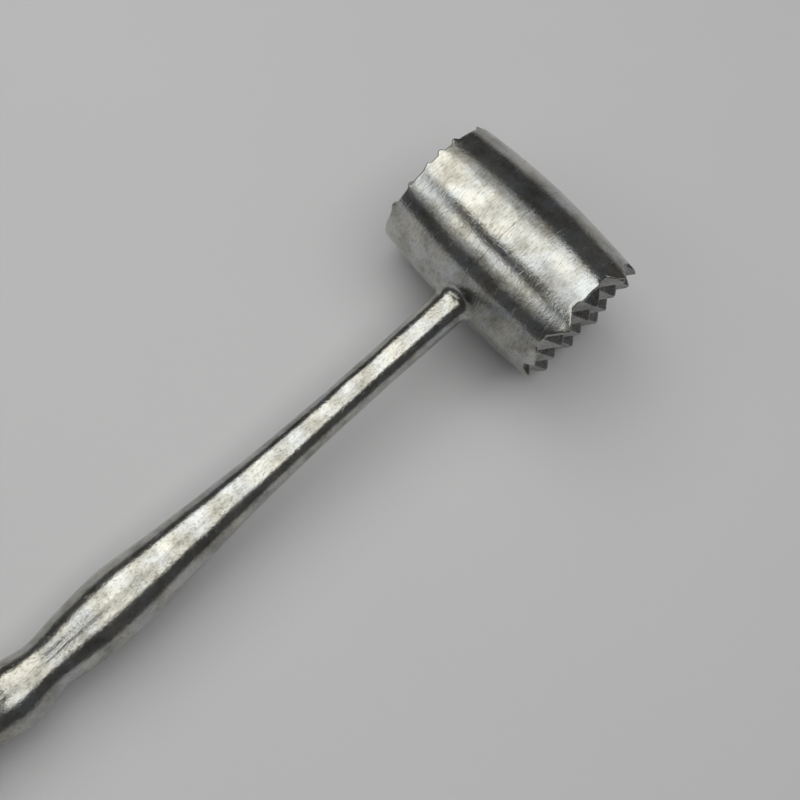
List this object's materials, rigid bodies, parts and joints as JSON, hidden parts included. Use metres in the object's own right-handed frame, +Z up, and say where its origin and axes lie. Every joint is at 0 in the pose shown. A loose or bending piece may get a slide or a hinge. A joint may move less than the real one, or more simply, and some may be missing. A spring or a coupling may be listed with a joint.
{
  "type": "meat mallet",
  "caption": "Double-faced cast meat mallet: crowned barrel head with tall teeth on one end and low teeth on the other, on a round waved handle with a hanging hole.",
  "frame": {"origin": "centre of the footprint, on the table the mallet lies on", "axes": "+X from the head along the handle to the hanging hole, +Y towards the tall teeth, +Z up"},
  "size_m": [0.24, 0.0582, 0.0428],
  "materials": {
    "tall_tooth_casting": "polished casting with fine lines round the barrel",
    "low_tooth_casting": "polished casting with fine lines round the barrel",
    "handle_casting": "tumbled bright casting",
    "pin_steel": "ground"
  },
  "bodies": {
    "root": {"tall_tooth_half_shell": "tall_tooth_casting", "low_tooth_half_shell": "low_tooth_casting", "handle": "handle_casting", "tang_pin": "pin_steel", "dowel_pins": "pin_steel"}
  },
  "joints": []
}
